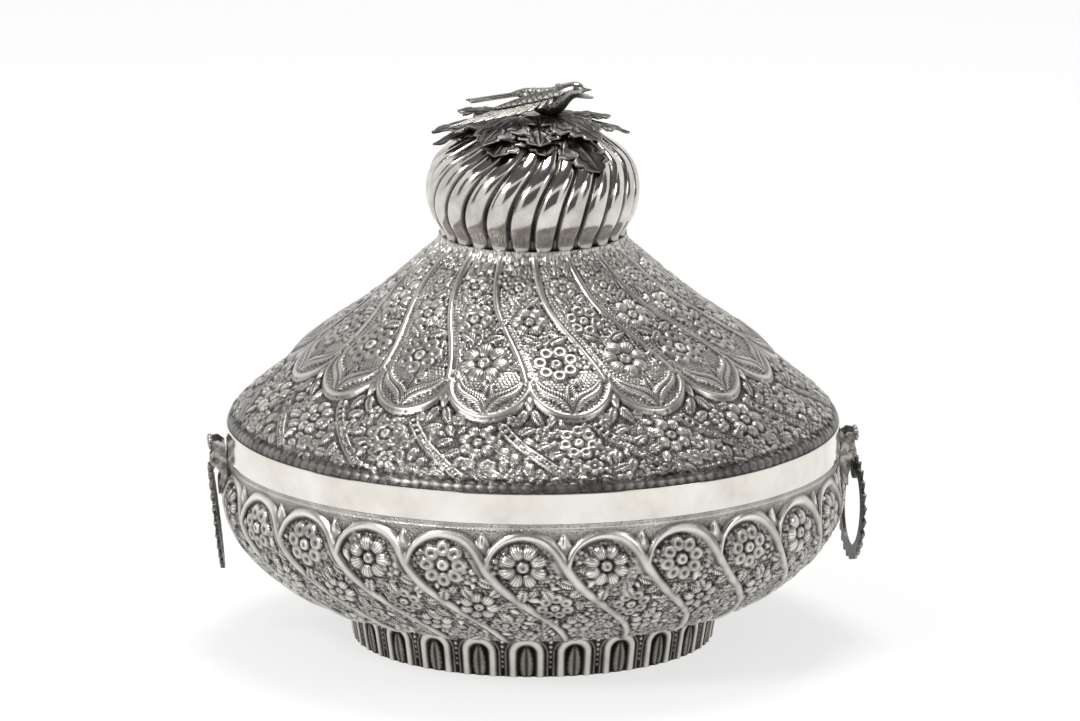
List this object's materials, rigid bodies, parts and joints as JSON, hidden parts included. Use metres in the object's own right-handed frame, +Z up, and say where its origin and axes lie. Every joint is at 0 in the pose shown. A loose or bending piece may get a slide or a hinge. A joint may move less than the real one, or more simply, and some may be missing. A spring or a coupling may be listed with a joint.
{
  "type": "lidded box",
  "caption": "Round chased silver box with a domed lift-off lid, gadrooned bulb, leaf and bird finial, low foot and drop-ring side handles.",
  "frame": {"origin": "centre of the foot's underside, on the surface that the box stands on", "axes": "+Z up along the box's axis; +X towards the right handle; -Y is the front"},
  "size_m": [0.3216, 0.3056, 0.2776],
  "materials": {
    "chased_silver": "chased relief silver, polished on the high points, blackened in the recesses",
    "polished_silver": "mirror-polished silver",
    "oxidised_silver": "oxidised dark silver, satin",
    "cast_silver": "cast silver with darkened feathers",
    "foot_silver": "worn warm-grey silver with blackened grooves",
    "hardware_silver": "plain satin silver"
  },
  "bodies": {
    "bowl": {"bowl_shell": "chased_silver", "rim_collar": "polished_silver", "foot_ring": "foot_silver", "left_bracket": "chased_silver", "left_crest": "chased_silver", "left_hinge_pin": "hardware_silver", "right_bracket": "chased_silver", "right_crest": "chased_silver", "right_hinge_pin": "hardware_silver"},
    "left_ring": {"left_ring": "chased_silver"},
    "right_ring": {"right_ring": "chased_silver"},
    "lid": {"lid_shell": "chased_silver", "lid_band": "polished_silver", "gadroon_bulb": "polished_silver", "leaf_boss": "oxidised_silver", "finial_stud": "hardware_silver", "finial_washer": "hardware_silver", "finial_nut": "hardware_silver", "leaf_low_back_left": "oxidised_silver", "leaf_low_back_right": "oxidised_silver", "leaf_low_front": "oxidised_silver", "leaf_low_front_left": "oxidised_silver", "leaf_low_front_right": "oxidised_silver", "leaf_low_left": "oxidised_silver", "leaf_low_right": "oxidised_silver", "leaf_mid_back": "oxidised_silver", "leaf_mid_front": "oxidised_silver", "leaf_mid_left": "oxidised_silver", "leaf_mid_right": "oxidised_silver", "leaf_top_back_left": "oxidised_silver", "leaf_top_front_left": "oxidised_silver", "leaf_top_front_right": "oxidised_silver", "bird_body": "cast_silver", "near_wing": "cast_silver", "far_wing": "cast_silver"}
  },
  "joints": [
    {"name": "lid_lift", "type": "slide", "parent": "bowl", "child": "lid", "axis": [0, 0, 1], "range_m": [0, 0.15]},
    {"name": "left_ring_swing", "type": "hinge", "parent": "bowl", "child": "left_ring", "pos_m": [-0.1555, 0, 0.0899], "axis": [0, 1, 0], "range_deg": [-4, 106]},
    {"name": "right_ring_swing", "type": "hinge", "parent": "bowl", "child": "right_ring", "pos_m": [0.1555, 0, 0.0899], "axis": [0, -1, 0], "range_deg": [-4, 100]}
  ]
}
